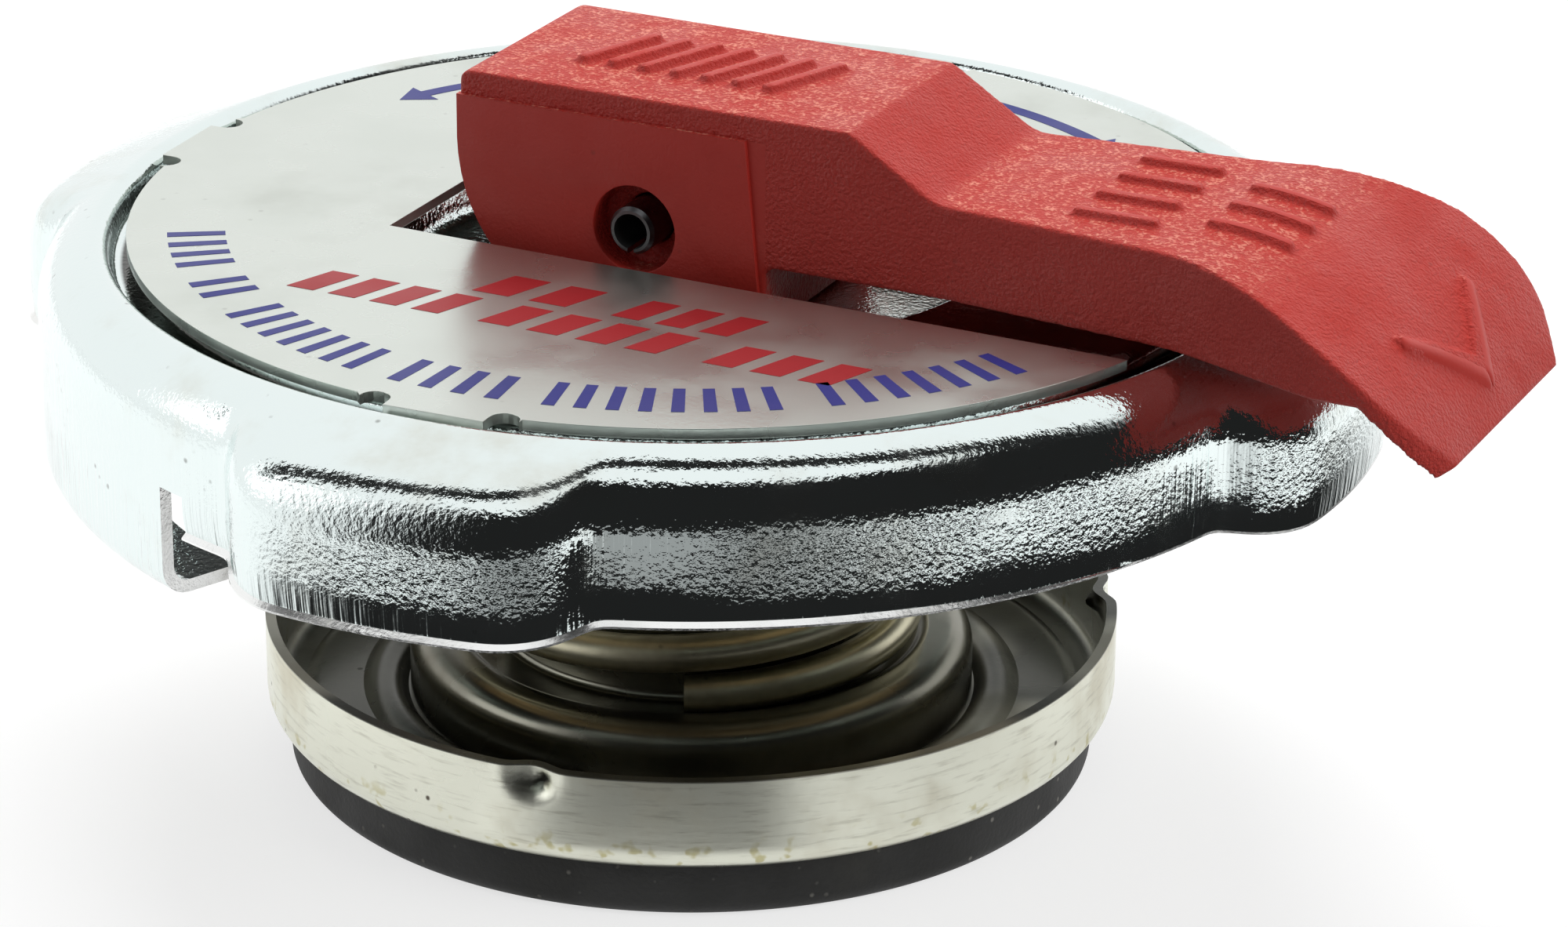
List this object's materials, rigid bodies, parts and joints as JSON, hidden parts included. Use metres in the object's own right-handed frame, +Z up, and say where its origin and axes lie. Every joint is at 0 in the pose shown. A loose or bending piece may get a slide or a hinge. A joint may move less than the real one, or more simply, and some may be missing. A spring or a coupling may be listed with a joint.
{
  "type": "radiator cap",
  "caption": "Round plated bayonet radiator cap with grip lobes, a hinged red lever that lifts a sprung pressure valve, and a vacuum valve in its lower gasket.",
  "frame": {"origin": "on the cap's axis, in the plane of the lower gasket's sealing face", "axes": "+Z up along the cap's axis, +X along the lever towards its paddle"},
  "size_m": [0.0736, 0.0664, 0.0349],
  "materials": {
    "plating": "bright zinc plating with a fine orange-peel texture",
    "label": "satin, printed in red and blue",
    "bronze": "spring bronze",
    "rubber_black": "matte",
    "seat_steel": "plain",
    "spring_wire": "drawn wire",
    "ring_steel": "satin",
    "dome_steel": "polished, slightly stained",
    "stem_steel": "plain",
    "pin_steel": "blackened",
    "vacuum_brass": "plain",
    "vacuum_wire": "plain",
    "lever_red": "fine spark texture"
  },
  "bodies": {
    "cap": {"shell": "plating", "label_disc": "label", "diaphragm_spring": "bronze", "upper_gasket": "rubber_black", "upper_spring_seat": "seat_steel", "stem_seal": "rubber_black", "seal_washer": "seat_steel", "pressure_spring": "spring_wire"},
    "valve": {"valve_ring": "ring_steel", "lower_spring_seat": "dome_steel", "lower_gasket": "rubber_black", "gasket_retainer": "seat_steel", "lift_stem": "stem_steel", "stem_washer": "seat_steel", "pivot_pin": "pin_steel", "vacuum_spring": "vacuum_wire"},
    "lever": {"lever": "lever_red"},
    "vacuum": {"vacuum_disc": "vacuum_brass", "vacuum_stem": "vacuum_brass", "vacuum_clip": "stem_steel"}
  },
  "joints": [
    {"name": "valve_lift", "type": "slide", "parent": "cap", "child": "valve", "axis": [0, 0, 1], "range_m": [0, 0.005], "stiffness_N_per_m": 100, "springref_m": -0.008, "deforming": ["pressure_spring"]},
    {"name": "lever_lift", "type": "hinge", "parent": "valve", "child": "lever", "pos_m": [0, 0, 0.0282], "axis": [0, -1, 0], "range_deg": [0, 90]},
    {"name": "vacuum_drop", "type": "slide", "parent": "valve", "child": "vacuum", "axis": [0, 0, -1], "range_m": [0, 0.0012], "stiffness_N_per_m": 60, "springref_m": -0.003, "deforming": ["vacuum_spring"]}
  ],
  "couplings": [
    {"joint": "lever_lift", "follows": "valve_lift", "rad_per_m": 314.1}
  ]
}
